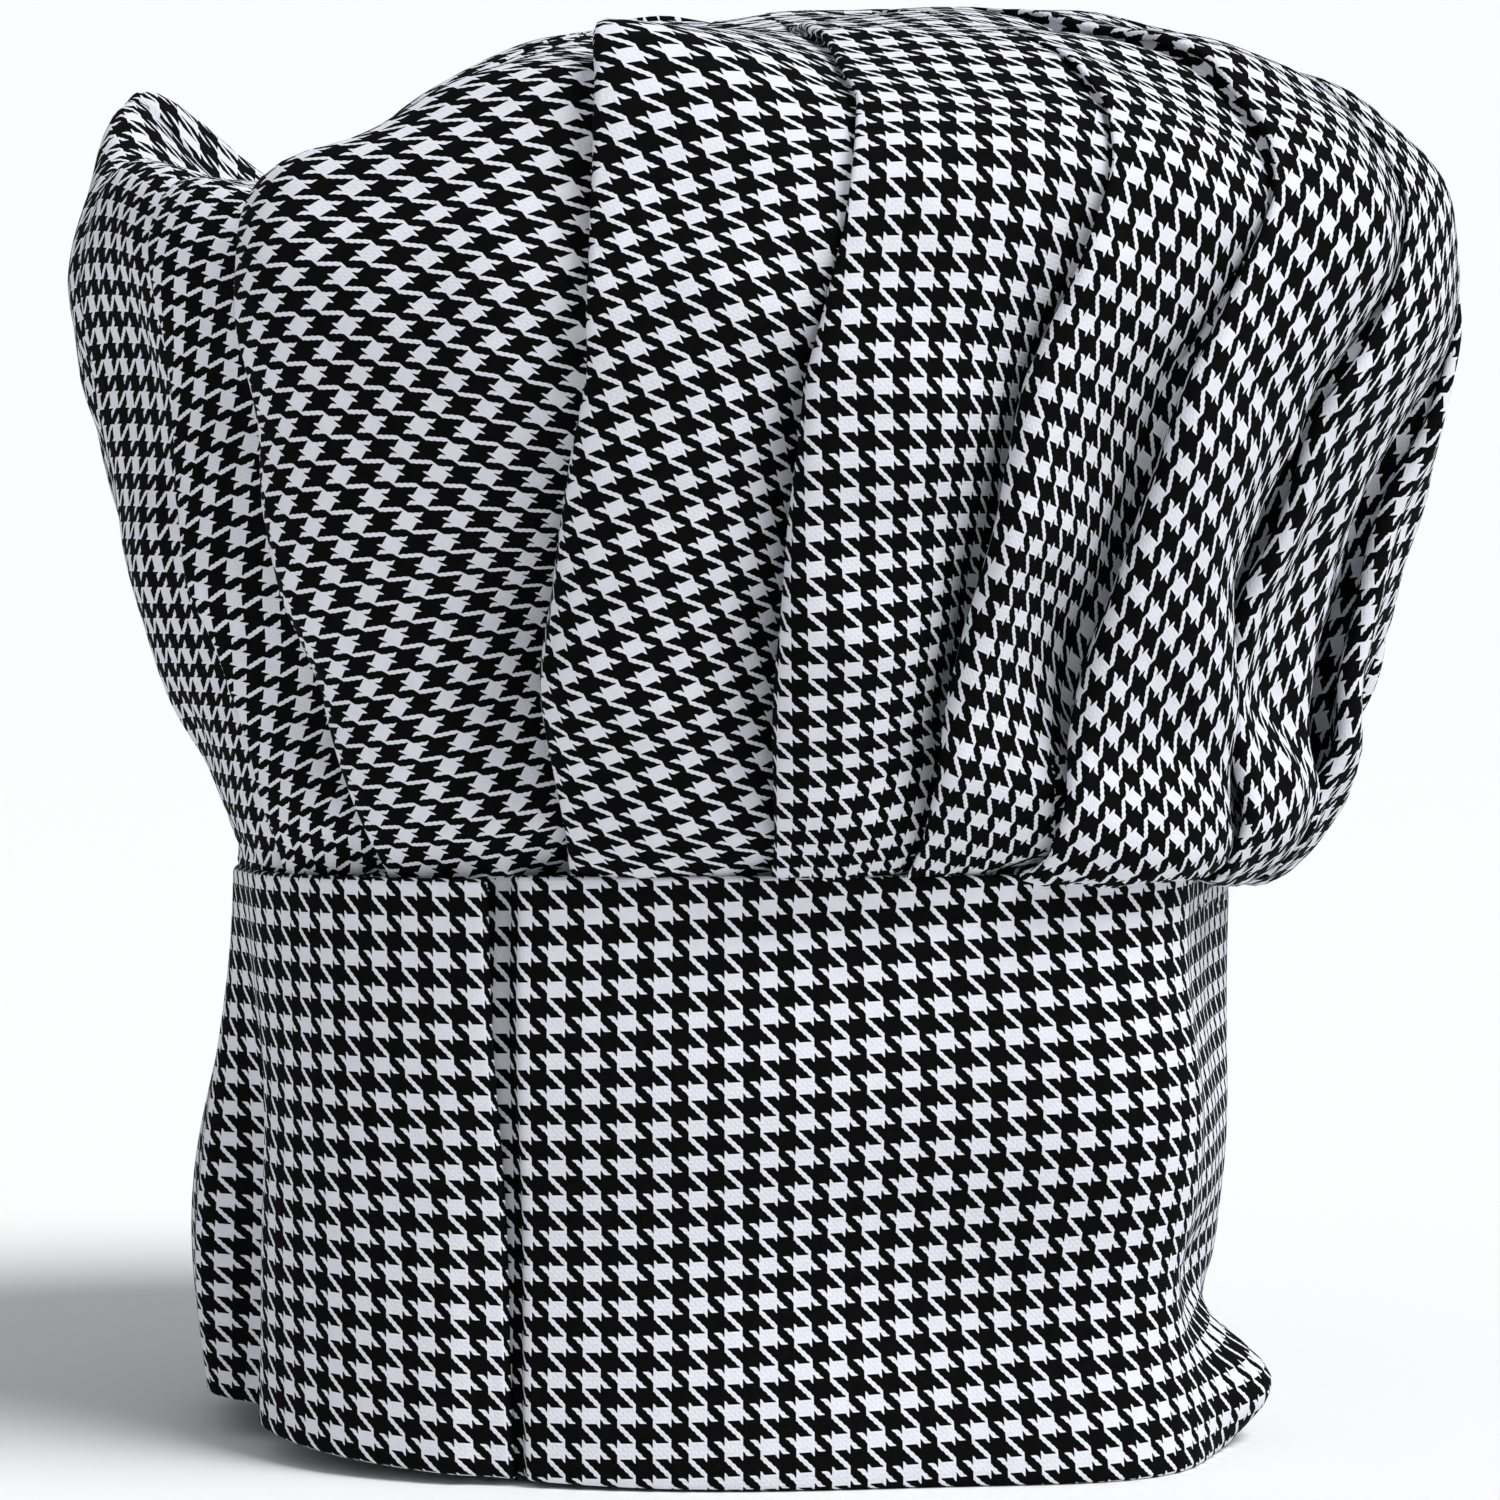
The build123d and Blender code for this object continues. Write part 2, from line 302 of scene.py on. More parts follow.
# Slumps of the crown: azimuth and meridian fraction, a spread for each, how far out, how far up.
CROWN_RELIEF = (
    (-103.0, 0.535, 13.0, 0.045, 5.0, 20.0),
    (-84.0, 0.64, 24.0, 0.06, 0.0, -3.0),
    (-50.0, 0.58, 20.0, 0.10, 0.0, -5.0),
    (-17.0, 0.61, 17.0, 0.07, 8.0, 6.0),
    (-20.0, 0.82, 26.0, 0.10, 0.0, -3.0),
    (-52.0, 0.60, 14.0, 0.08, 0.0, -3.5),
    (70.0, 0.10, 20.0, 0.05, 3.0, -3.0),
    (62.0, 0.21, 8.5, 0.10, -11.5, 0.0),
    (-66.0, 0.36, 9.0, 0.17, -6.5, 0.0),
    (-49.0, 0.42, 6.0, 0.20, -3.6, 0.0),
    (-39.0, 0.42, 6.0, 0.20, 1.8, 0.0),
)


def meridian(points):
    """A smooth curve through (distance, height) points, resampled evenly, and its length."""
    p = np.array(points, float)
    t = np.concatenate([[0.0], np.cumsum(np.sqrt(np.linalg.norm(np.diff(p, axis=0), axis=1)))])
    slopes = np.gradient(p, t, axis=0)
    fine = np.linspace(0.0, t[-1], FINE)
    k = np.clip(np.searchsorted(t, fine, side="right") - 1, 0, len(t) - 2)
    h = (t[k + 1] - t[k])[:, None]
    s = ((fine - t[k])[:, None]) / h
    curve = ((2 * s**3 - 3 * s**2 + 1) * p[k] + (s**3 - 2 * s**2 + s) * h * slopes[k]
             + (3 * s**2 - 2 * s**3) * p[k + 1] + (s**3 - s**2) * h * slopes[k + 1])
    run = distances(curve)
    even = np.linspace(0.0, run[-1], CURVE_POINTS)
    return np.stack([np.interp(even, run, curve[:, i]) for i in (0, 1)], axis=-1), run[-1]


SIDES = {"left": meridian(LEFT), "right": meridian(RIGHT), "front": meridian(FRONT), "back": meridian(BACK)}
DISC_RADIUS = sum(length for _, length in SIDES.values()) / 4
FRACTIONS = np.linspace(0.0, 1.0, CURVE_POINTS)


def crown_skin(azimuth, q):
    """The crown's outer shape, before its pleats: points at an azimuth and a meridian fraction."""
    azimuth, q = np.broadcast_arrays(np.asarray(azimuth, float), np.asarray(q, float))
    t = np.radians(azimuth)
    share = {"right": np.clip(np.sin(t), 0, 1) ** 2, "left": np.clip(-np.sin(t), 0, 1) ** 2,
             "front": np.clip(np.cos(t), 0, 1) ** 2, "back": np.clip(-np.cos(t), 0, 1) ** 2}
    r = sum(share[k] * np.interp(q, FRACTIONS, SIDES[k][0][:, 0]) for k in share)
    z = sum(share[k] * np.interp(q, FRACTIONS, SIDES[k][0][:, 1]) for k in share)
    seam = sum(share[k] * SIDES[k][0][0, 0] for k in share)
    # at the seam the crown follows the band, which lies further in to the right of the flap
    own = outline_radius(azimuth) - (LAP_STEP - 1.6) * bump(wrap(azimuth - 16.0), 0.0, 60.0) - SEAM_INSET
    own = own + band_relief(azimuth, BAND_HEIGHT)
    r = r + (own - seam) * (1.0 - ease(q / SEAM_REACH))
    for c, qc, w, qw, out, rise in CROWN_RELIEF:
        weight = bump(wrap(azimuth - c), 0.0, w) * bump(q, qc, qw)
        r = r + out * weight
        z = z + rise * weight
    x = r * np.sin(t) + POLE_X * ease(q)
    return np.stack([x, -r * np.cos(t), z], axis=-1)


def skin_normal(azimuth, q):
    aside, on = 0.25, 0.004
    across = crown_skin(azimuth + aside, q) - crown_skin(azimuth - aside, q)
    above, below = np.minimum(q + on, 0.999), np.maximum(q - on, 0.0)
    up = crown_skin(azimuth, above) - crown_skin(azimuth, below)
    n = np.cross(across, up)
    return n / np.maximum(np.linalg.norm(n, axis=-1, keepdims=True), 1e-9)


# Columns across one pleat: panel, under the next fold, round the inner fold, back, round the edge.
PANEL = np.linspace(0.0, 1.0, 15) ** 0.9
UNDER = np.linspace(0.0, 1.0, 5)[1:]
TURN = np.linspace(0.0, pi, 5)[1:-1]
BACKWARD = np.linspace(1.0, 0.0, 5)
COLUMNS = len(PANEL) + len(UNDER) + len(TURN) + len(BACKWARD) + len(TURN)
SHOWN = len(PANEL)                  # the columns that show; the others are hidden layers
UNDER_SHARE = np.concatenate([UNDER, np.ones(COLUMNS - SHOWN - len(UNDER))])
ROW_FRACTIONS = np.concatenate([np.linspace(0, 0.08, 14)[:-1], np.linspace(0.08, 0.985, 119)])
LAYER = 1.0                         # room for one layer of cloth inside a pleat
OPEN_SPARE = 16.0                   # spare cloth, in mm, from which a pleat stands fully open
# Rows of the edge tucked into the band: how far down, and how much further out on the flat disc.
TUCK_ROWS = ((7.0, 9.0), (3.5, 5.5), (1.0, 2.8))
TUCK_IN = 2.6                       # those rows lie this much nearer the hat's middle than the seam
WELD = 0.12                         # points nearer than this are one, where pleats run out


def waves(u, v, wavelength, count, seed):
    """A smooth random relief of about unit size over a plane, from waves near one length."""
    rng = np.random.default_rng(seed)
    total = 0.0
    for _ in range(count):
        angle, phase, scale = rng.uniform(0, 2 * pi), rng.uniform(0, 2 * pi), rng.uniform(0.7, 1.5)
        k = 2 * pi / (wavelength * scale)
        total = total + np.sin(k * (u * cos(angle) + v * sin(angle)) + phase)
    return total * (2.0 / count) ** 0.5


def slack(q):
    """Room that every pleat keeps, less and less towards the middle of the top, where they end."""
    return 1.0 - ease((q - 0.6) / 0.25)


def pleat_plan(k, left, right, q, rho, fullness):
    """Radius, width, cloth to hold, openness and greatest depth of one pleat at one level."""
    middle = crown_skin((left + right) / 2, q)
    r_hat = np.hypot(middle[0] - POLE_X * ease(q), middle[1])
    width = radians(right - left) * r_hat
    total = radians(PLEAT_TURNS[k]) * rho
    spare = max(total - width, 0.04 + 0.56 * slack(q))
    open_up = min(1.0, spare / OPEN_SPARE)
    depth = SEAM_DEPTH + (PLEAT_DEPTH * FOLD_DEPTH[k] - SEAM_DEPTH) * ease(q / 0.16)
    depth = min(depth * open_up * (0.35 + 0.65 * fullness), spare / 1.9)
    over = (k + 1) % PLEATS
    fade = 0.12                     # the part of a meridian over which a fold's step dies away
    depth = max(depth, FOLD_STEP[over] * (1.0 - ease((q - FOLD_TOP[over] + fade) / fade)))
    return r_hat, width, total, open_up, depth


def panel_depth(share, k, plan):
    """How deep a pleat's visible panel lies, from its own edge (0) to the next fold (1)."""
    open_up, depth = plan[3:]
    slope = FOLD_SLOPE[k]
    crown_of_panel = 1.4 * (1 - slope) * open_up * np.sin(pi * share)
    return depth * (slope * share + (1 - slope) * share**2.6) - crown_of_panel


def lay_pleat(k, edges, q, plans):
    """One pleat's line at one level: azimuths, depths, and angles (psi) on the flat disc."""
    left, right = edges[k], edges[k + 1]
    r_hat, width, total, _, depth = plans[k]
    inner = depth * 0.52            # depth at which the hidden layer nearest the panel starts
    panel = panel_depth(PANEL, k, plans[k])
    panel_run = np.hypot(width * np.diff(PANEL), np.diff(panel)).sum()
    hide = np.clip((total - panel_run - 1.6 * depth) / 2, 0.005 + 0.1 * slack(q), 0.82 * width)
    under = np.degrees(hide / max(r_hat, 1.0))
    # the hidden layers lie under the next panel, however deep that one dives
    over = (k + 1) % PLEATS
    share = np.clip(under * UNDER / (edges[k + 2] - right), 0.0, 0.9)
    beneath = panel_depth(share, over, plans[over])
    low = np.maximum(depth, beneath + 2 * LAYER)
    high = np.maximum(inner, np.concatenate([[0.0], beneath]) + LAYER)
    high[0] = inner
    gap = low[-1] - high[-1]
    bow = np.degrees(gap / 2 / max(r_hat, 1.0))
    lip = np.degrees(inner / 2 / max(r_hat, 1.0))
    azimuths = np.concatenate([
        left + (right - left) * PANEL, right + under * UNDER, right + under + bow * np.sin(TURN),
        right + under * BACKWARD, right - lip * np.sin(TURN)])
    depths = np.concatenate([
        panel, low, (low[-1] + high[-1]) / 2 + gap / 2 * np.cos(TURN),
        high[::-1], inner / 2 + inner / 2 * np.cos(TURN)])
    run = np.concatenate([[0.0], np.cumsum(np.hypot(np.radians(np.diff(azimuths)) * r_hat,
                                                    np.diff(depths)))])
    start = TURN_STARTS[k] - TURN_STARTS[FRONT_PLEAT] - 6.0
    psi = np.radians(start + PLEAT_TURNS[k] * run / (run[-1] + 0.4 * inner))
    return azimuths, depths, psi


def soft_waves(azimuths, q, u, v):
    """The cloth's own soft waves, most of them where the crown is crushed at the lower right."""
    soft = waves(u, v, 46.0, 10, SEED) * 0.9 + waves(u, v, 17.0, 12, SEED + 1) * 0.22
    crumple = 1.0 + 2.2 * bump(wrap(azimuths - 74.0), 0.0, 26.0) * bump(q, 0.16, 0.14)
    return soft * ease(q / 0.12) * crumple


def seam_pucker(q, rho, psi, u, v):
    """Small puckers along the seam."""
    pucker = np.sin(rho * psi / 6.5 * 2 * pi / 2 + waves(u, v, 30.0, 5, SEED + 2)) * 0.35
    return pucker * np.exp(-q / 0.035)


def crown_row(q):
    """Points and flat places of the crown's cloth all the way round, at one meridian fraction."""
    rho = DISC_RADIUS * (1.0 - q)
    edges = [np.interp(q, FOLD_LEVELS, f) for f in FOLDS]
    edges += [edges[0] + FULL_TURN, edges[1] + FULL_TURN]
    fullness = 1.0 - ease((q - 0.30) / 0.26)
    plans = [pleat_plan(k, edges[k], edges[k + 1], q, rho, fullness) for k in range(PLEATS)]
    laid, points, cloth = [], [], []
    for k in range(PLEATS):
        a, d, psi = lay_pleat(k, edges, q, plans)
        u, v = rho * np.sin(psi), -rho * np.cos(psi)
        laid.append((a, d, soft_waves(a, q, u, v), seam_pucker(q, rho, psi, u, v)))
        cloth.append(np.stack([u, v], axis=-1) / REPEAT)
    for k, (a, d, soft, pucker) in enumerate(laid):
        # the hidden layers follow the relief of the panel that lies over them
        share = (a[SHOWN:] - edges[k + 1]) / (edges[k + 2] - edges[k + 1])
        above = np.interp(share, PANEL, laid[(k + 1) % PLEATS][2][:SHOWN])
        soft[SHOWN:] = soft[SHOWN - 1] * (1.0 - UNDER_SHARE) + above * UNDER_SHARE
        points.append(crown_skin(a, q) - skin_normal(a, q) * (d - soft - pucker)[:, None])
    return np.concatenate(points), np.concatenate(cloth)


def build_crown(material):
    """The pleated disc: rows from the seam to near the middle of the top, then one last point."""
    rows = [crown_row(q) for q in ROW_FRACTIONS]
    grid = np.stack([points for points, _ in rows])
    uv = np.stack([cloth for _, cloth in rows])
    tuck = grid[:1] * 1.0
    flat = tuck[..., :2]
    tuck[..., :2] = flat * (1.0 - TUCK_IN / np.linalg.norm(flat, axis=-1, keepdims=True))
    grid = np.concatenate([tuck - (0, 0, drop) for drop, _ in TUCK_ROWS] + [grid])
    uv = np.concatenate([uv[:1] * (1.0 + out / DISC_RADIUS) for _, out in TUCK_ROWS] + [uv])
    cols = PLEATS * COLUMNS
    faces = grid_faces(len(grid), cols, closed=True)
    centre = len(grid) * cols
    top = centre - cols
    faces += [(top + c, top + (c + 1) % cols, centre) for c in range(cols)]
    pole = grid[-1].mean(axis=0)
    all_points = np.concatenate([grid.reshape(-1, 3), [pole]])
    all_uv = np.concatenate([uv.reshape(-1, 2), [(0.0, 0.0)]])
    crown = make_mesh("crown_cloth", all_points, faces, all_uv, material)
    bm = bmesh.new()
    bm.from_mesh(crown.data)
    bmesh.ops.remove_doubles(bm, verts=bm.verts, dist=WELD * MM)
    bm.to_mesh(crown.data)
    bm.free()
    thicken(crown, CLOTH)
    return crown


# --- band pieces -------------------------------------------------------------------------------
# The rounded edge of a turned-in strip: distance in from the edge, and depth there.
EDGE_IN = np.array((0.0, 0.0, 0.12, 0.35, 0.65, 1.0))
EDGE_DEPTH = np.array((1.35, 0.9, 0.45, 0.2, 0.06, 0.0))
RAW_EDGE = np.array((0.0,))
LEVEL_STEP = 2.2                    # between a strip's rows of points
LEAN_FROM = 40.0                    # degrees before the flap's edge at which it starts to lean


def strip(name, start, end, low, high, depth, material, thickness, turned=1.0, ends=(True, True),
          step=1.6, lift=None):
    """A strip of cloth on the band between azimuths, its edges turned in by up to `turned`.

    Returns the piece and the size of its flat cut in metres."""
    a0, a1 = run_at(start), run_at(end)
    inner = np.arange(1.0, a1 - a0 - 1.0, step)[1:]
    head, head_depth = (EDGE_IN, EDGE_DEPTH) if ends[0] else (RAW_EDGE, RAW_EDGE)
    tail, tail_depth = (EDGE_IN[::-1], EDGE_DEPTH[::-1]) if ends[1] else (RAW_EDGE, RAW_EDGE)
    runs = np.concatenate([a0 + head, a0 + inner, a1 - tail])
    run_depth = np.concatenate([head_depth, 0 * inner, tail_depth]) * turned
    mid = np.arange(low + 1.0, high - 1.0, LEVEL_STEP)[1:]
    zs = np.concatenate([low + EDGE_IN, mid, high - EDGE_IN[::-1]])
    z_depth = np.concatenate([EDGE_DEPTH, 0 * mid, EDGE_DEPTH[::-1]]) * turned
    azimuths, heights = np.meshgrid(azimuth_at(runs), zs)
    depths = depth + np.maximum(run_depth[None, :], z_depth[:, None])
    if lift is not None:
        azimuths = azimuths + lean(heights) * ease((azimuths - FLAP_TO + LEAN_FROM) / LEAN_FROM)
        depths = depths - lift(azimuths, heights)
    points = wall(azimuths, depths, heights)
    # on the flat cloth, what is turned in lies beyond the edge
    folded = np.sign(runs - (a0 + a1) / 2) * run_depth
    z_folded = np.sign(zs - (low + high) / 2) * z_depth
    along, up = np.meshgrid(runs + folded, zs + z_folded)
    uv = np.stack([along, up - np.interp(along, WALL_RUN, ROW_RISE)], axis=-1) / REPEAT
    obj = make_mesh(name, points, grid_faces(len(zs), len(runs)), uv, material)
    thicken(obj, thickness)
    return obj, ((a1 - a0) * MM, (high - low) * MM)


def flap_lift(azimuth, z):
    """The flap's free edge settles onto the band low down and stands off it at the top."""
    settled, raised = 2.2, 1.6      # mm
    near = ease((azimuth - (FLAP_TO - 6.0)) / 6.0)
    corner = ease((azimuth - (FLAP_TO - 26.0)) / 26.0) * ease((z - 60.0) / 50.0)
    return -settled * near * (1.0 - z / BAND_HEIGHT) + raised * corner


# --- threads -----------------------------------------------------------------------------------
PITCH = 5.0                         # from one stitch to the next
STITCH = (3.0, 0.5)                 # length and width


def thread(centre, along, out):
    """One visible length of thread: a bowed, tapered bead. Returns its points and faces."""
    length, width = STITCH
    rings, sides = 7, 6
    across = np.cross(out, along)
    points, faces = [], []
    for i in range(rings):
        t = i / (rings - 1) * 2 - 1
        girth = width / 2 * max(1 - t**4, 0.08) ** 0.5
        spine = centre + along * (t * length / 2) + out * (0.22 * (1 - t * t) - 0.1)
        for j in range(sides):
            w = 2 * pi * j / sides
            points.append(spine + across * (girth * cos(w)) + out * (girth * 0.7 * sin(w)))
    for i in range(rings - 1):
        for j in range(sides):
            k = (j + 1) % sides
            faces.append((i * sides + j, i * sides + k, (i + 1) * sides + k, (i + 1) * sides + j))
    faces.append(tuple(range(sides))[::-1])
    faces.append(tuple((rings - 1) * sides + j for j in range(sides)))
    return points, faces


def sew(name, marks, depth, material, inward=True, lift=None):
    """Threads at (azimuth, height, upright) marks on the band's face at a depth."""
    points, faces = [], []
    for azimuth, z, upright in marks:
        d = depth - (float(lift(azimuth, z)) if lift else 0.0)
        here = wall(azimuth, d, z)
        level = wall(azimuth + 0.5, d, z) - wall(azimuth - 0.5, d, z)
        level = level / np.linalg.norm(level)
        rise = wall(azimuth, d, z + 1.0) - wall(azimuth, d, z - 1.0)
        rise = rise / np.linalg.norm(rise)
        out = np.cross(level, rise) * (-1.0 if inward else 1.0)
        p, f = thread(here + out * 0.12, rise if upright else level, out)
        faces += [tuple(i + len(points) for i in face) for face in f]
        points += p
    return make_mesh(name, points, faces, None, material)


def row_marks(start, end, z):
    runs = np.arange(run_at(start), run_at(end), PITCH)
    return [(float(azimuth_at(r)), z, False) for r in runs]


def box_marks(start, end, low, high):
    marks = row_marks(start, end, low) + row_marks(start, end, high)
    for edge in (start, end):
        marks += [(edge, float(z), True) for z in np.arange(low + PITCH, high - PITCH / 2, PITCH)]
    return marks


# --- materials ---------------------------------------------------------------------------------
def new_material(name, roughness, color=(0.5, 0.5, 0.5), gloss=0.25):
    """A material, the helper for its nodes, and its shader."""
    m = bpy.data.materials.new(name)
    m.use_nodes = True
    shader = m.node_tree.nodes["Principled BSDF"]
    shader.inputs["Base Color"].default_value = (*color, 1.0)
    shader.inputs["Roughness"].default_value = roughness
    shader.inputs["Specular IOR Level"].default_value = gloss
    return m, Nodes(m.node_tree), shader


class Nodes:
    """Short names for the nodes that the cloth formulas need."""

    def __init__(self, tree):
        self.tree = tree

    def new(self, kind, **settings):
        node = self.tree.nodes.new(kind)
        for key, value in settings.items():
            setattr(node, key, value)
        return node

    def put(self, socket, value):
        if isinstance(value, bpy.types.NodeSocket):
            self.tree.links.new(value, socket)
        else:
            socket.default_value = value

    def math(self, operation, a, b=0.0, c=0.0):
        node = self.new("ShaderNodeMath", operation=operation)
        for socket, value in zip(node.inputs, (a, b, c)):
            self.put(socket, value)
        return node.outputs[0]

    def mix(self, factor, a, b):
        node = self.new("ShaderNodeMix", data_type="RGBA")
        self.put(node.inputs["Factor"], factor)
        self.put(node.inputs["A"], a if isinstance(a, bpy.types.NodeSocket) else (*a, 1.0))
        self.put(node.inputs["B"], b if isinstance(b, bpy.types.NodeSocket) else (*b, 1.0))
        return node.outputs["Result"]

    def noise(self, vector, scale, detail=2.0):
        node = self.new("ShaderNodeTexNoise")
        self.put(node.inputs["Vector"], vector)
        node.inputs["Scale"].default_value = scale
        node.inputs["Detail"].default_value = detail
        return node.outputs["Fac"]

    def cloth_places(self):
        """Where a point lies on the flat cloth, in repeats of the check: as a vector, across, up."""
        uv = self.new("ShaderNodeUVMap", uv_map="cloth").outputs["UV"]
        split = self.new("ShaderNodeSeparateXYZ")
        self.put(split.inputs[0], uv)
        return uv, split.outputs[0], split.outputs[1]

    def bump(self, height, strength, distance, shader):
        node = self.new("ShaderNodeBump")
        node.inputs["Strength"].default_value = strength
        node.inputs["Distance"].default_value = distance
        self.put(node.inputs["Height"], height)
        self.tree.links.new(node.outputs["Normal"], shader.inputs["Normal"])


def houndstooth():
    """About four dark and four pale threads each way in a twill, which make the check by themselves."""
    material, n, shader = new_material("houndstooth_twill", 0.85, gloss=0.035)
    uv, across, up = n.cloth_places()
    x = n.math("MULTIPLY", across, THREADS)
    y = n.math("MULTIPLY", up, THREADS)
    warp_dark = n.math("LESS_THAN", n.math("FLOORED_MODULO", x, THREADS), DARK_WARP)
    weft_dark = n.math("LESS_THAN", n.math("FLOORED_MODULO", y, THREADS), DARK_WEFT)
    # the twill's diagonals, a little wavy thread by thread, with one through each check's corner
    wavy = n.math("MULTIPLY_ADD", n.math("SINE", n.math("MULTIPLY", x, 2 * pi)), -0.1, x)
    half = TWILL / 2
    corner = half - (DARK_WARP + DARK_WEFT) / 2
    step = n.math("FLOORED_MODULO", n.math("ADD", n.math("ADD", wavy, y), corner), TWILL)
    reach = n.math("MULTIPLY_ADD", warp_dark, half - 2.0 * PALE_LINE, PALE_LINE)
    over = n.math("LESS_THAN", n.math("ABSOLUTE", n.math("SUBTRACT", step, half)), reach)
    dark = n.math("ADD", n.math("MULTIPLY", warp_dark, over),
                  n.math("MULTIPLY", weft_dark, n.math("SUBTRACT", 1.0, over)))
    # fine wale: the diagonal ribs of the twill
    wale = n.math("SINE", n.math("MULTIPLY", n.math("ADD", x, y), pi * 1.5))
    slub = n.noise(uv, 3.0, 3.0)
    pale = n.mix(slub, (0.66, 0.68, 0.74), (0.80, 0.82, 0.88))
    black = n.mix(slub, (0.0015, 0.0015, 0.0015), (0.005, 0.005, 0.0048))
    n.put(shader.inputs["Base Color"], n.mix(dark, pale, black))
    # each thread is rounded where it lies on top
    warp_round = n.math("SINE", n.math("MULTIPLY", n.math("FRACT", x), pi))
    weft_round = n.math("SINE", n.math("MULTIPLY", n.math("FRACT", y), pi))
    threads = n.math("ADD", n.math("MULTIPLY", warp_round, over),
                     n.math("MULTIPLY", weft_round, n.math("SUBTRACT", 1.0, over)))
    height = n.math("ADD", threads, n.math("MULTIPLY", wale, 0.3))
    n.bump(height, 0.35, 0.00012, shader)
    return material


def plain_weave(name, color, shade, pitch, roughness=0.9, strength=0.3):
    """A plain cloth or tape, its threads `pitch` mm apart."""
    material, n, shader = new_material(name, roughness, color)
    uv, across, up = n.cloth_places()
    k = REPEAT / pitch * pi
    wx = n.math("SINE", n.math("MULTIPLY", across, k))
    wy = n.math("SINE", n.math("MULTIPLY", up, k))
    weave = n.math("MULTIPLY", wx, wy)
    slub = n.noise(uv, 1.7, 4.0)
    n.put(shader.inputs["Base Color"], n.mix(slub, shade, color))
    n.bump(weave, strength, 0.0001, shader)
    return material


def pile(name, color, shade, scale, strength):
    """Hook or loop pile: a speckled, soft, strongly bumped surface."""
    material, n, shader = new_material(name, 0.8, color)
    place = n.new("ShaderNodeTexCoord")
    grains = n.new("ShaderNodeTexVoronoi")
    grains.inputs["Scale"].default_value = scale
    n.put(grains.inputs["Vector"], place.outputs["Object"])
    n.put(shader.inputs["Base Color"], n.mix(grains.outputs["Distance"], color, shade))
    shader.inputs["Sheen Weight"].default_value = 0.3
    n.bump(grains.outputs["Distance"], strength, 0.0006, shader)
    return material


def sewing_thread():
    """Off-white thread with its twist showing."""
    material, n, shader = new_material("sewing_thread", 0.6, (0.82, 0.81, 0.78))
    place = n.new("ShaderNodeTexCoord")
    twist = n.new("ShaderNodeTexWave")
    twist.inputs["Scale"].default_value = 900.0
    n.put(twist.inputs["Vector"], place.outputs["Object"])
    tint = n.mix(twist.outputs["Fac"], (0.6, 0.59, 0.56), (0.86, 0.85, 0.82))
    n.put(shader.inputs["Base Color"], tint)
    n.bump(twist.outputs["Fac"], 0.4, 0.0001, shader)
    return material


HOUNDSTOOTH = houndstooth()
FACING = plain_weave("facing_cotton", (0.84, 0.81, 0.74), (0.72, 0.69, 0.62), 0.5)
INTERLINING = plain_weave("interlining_fleece", (0.88, 0.88, 0.86), (0.8, 0.8, 0.78), 0.9, strength=0.6)
BINDING = plain_weave("binding_tape_cotton", (0.80, 0.78, 0.72), (0.66, 0.64, 0.58), 0.45)
LABEL = plain_weave("label_satin", (0.90, 0.90, 0.88), (0.84, 0.84, 0.82), 0.25, roughness=0.5, strength=0.15)
LOOP = pile("loop_pile_black", (0.05, 0.05, 0.055), (0.012, 0.012, 0.014), 900.0, 0.9)
HOOK = pile("hook_pile_black", (0.07, 0.07, 0.075), (0.015, 0.015, 0.017), 700.0, 1.0)
THREAD = sewing_thread()

# --- build -------------------------------------------------------------------------------------
ROOT, FLAP = "toque", "closure_flap"


def fit(obj, body, node):
    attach(obj, body)
    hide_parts(node)


crown = build_crown(HOUNDSTOOTH)
fit(crown, ROOT, "crown")

band, band_flat = strip("band_cloth", BAND_FROM, BEND_FROM, 0.0, BAND_HEIGHT, 0.0, HOUNDSTOOTH, CLOTH,
                        turned=1.6, ends=(True, False), step=1.0)
fit(band, ROOT, "band_outer")

lining, lining_flat = strip("band_stiffener", BAND_FROM + 1.5, BEND_FROM, 1.5, BAND_HEIGHT - 1.5,
                            CLOTH + CLEAR, INTERLINING, STIFFENER, turned=0.0, ends=(False, False))
fit(lining, ROOT, "band_interlining")

FACE_DEPTH = 1.45
INSIDE = FACE_DEPTH + FACING_CLOTH  # depth of the inner surface of the band and flap
facing, facing_flat = strip("band_inner_facing", BAND_FROM + 1.0, BEND_FROM, 1.2, BAND_HEIGHT - 0.4,
                            FACE_DEPTH, FACING, FACING_CLOTH, turned=-0.3, ends=(True, False))
fit(facing, ROOT, "band_facing")

FLAP_HIGH = BAND_HEIGHT - 0.6


def blended(obj, node):
    """A piece of the flap: its placement is baked into its points, and the CAD part it replaces is hidden."""
    before, after, middle = 0.012, 0.014, 55.0      # metres, metres, and a height in mm
    direction = wall(FLAP_TO, 0.0, middle) - wall(LAP_ROOT + FULL_TURN, 0.0, middle)
    direction = Vector(direction / np.linalg.norm(direction))
    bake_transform(obj)
    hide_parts(node)


flap, flap_flat = strip("flap_cloth", BEND_FROM, FLAP_TO, 0.0, FLAP_HIGH, 0.0, HOUNDSTOOTH, CLOTH,
                        turned=1.6, ends=(False, True), lift=flap_lift)
blended(flap, "flap_outer")
flap_lining, flap_lining_flat = strip(
    "flap_stiffener", BEND_FROM, FLAP_TO - 1.5, 1.5, FLAP_HIGH - 1.5, CLOTH + CLEAR,
    INTERLINING, STIFFENER, turned=0.0, ends=(False, False), lift=flap_lift)
blended(flap_lining, "flap_interlining")
flap_facing, flap_facing_flat = strip(
    "flap_inner_facing", BEND_FROM, FLAP_TO - 1.1, 1.2, FLAP_HIGH - 0.4, FACE_DEPTH,
    FACING, FACING_CLOTH, turned=-0.3, ends=(False, True), lift=flap_lift)
blended(flap_facing, "flap_facing")

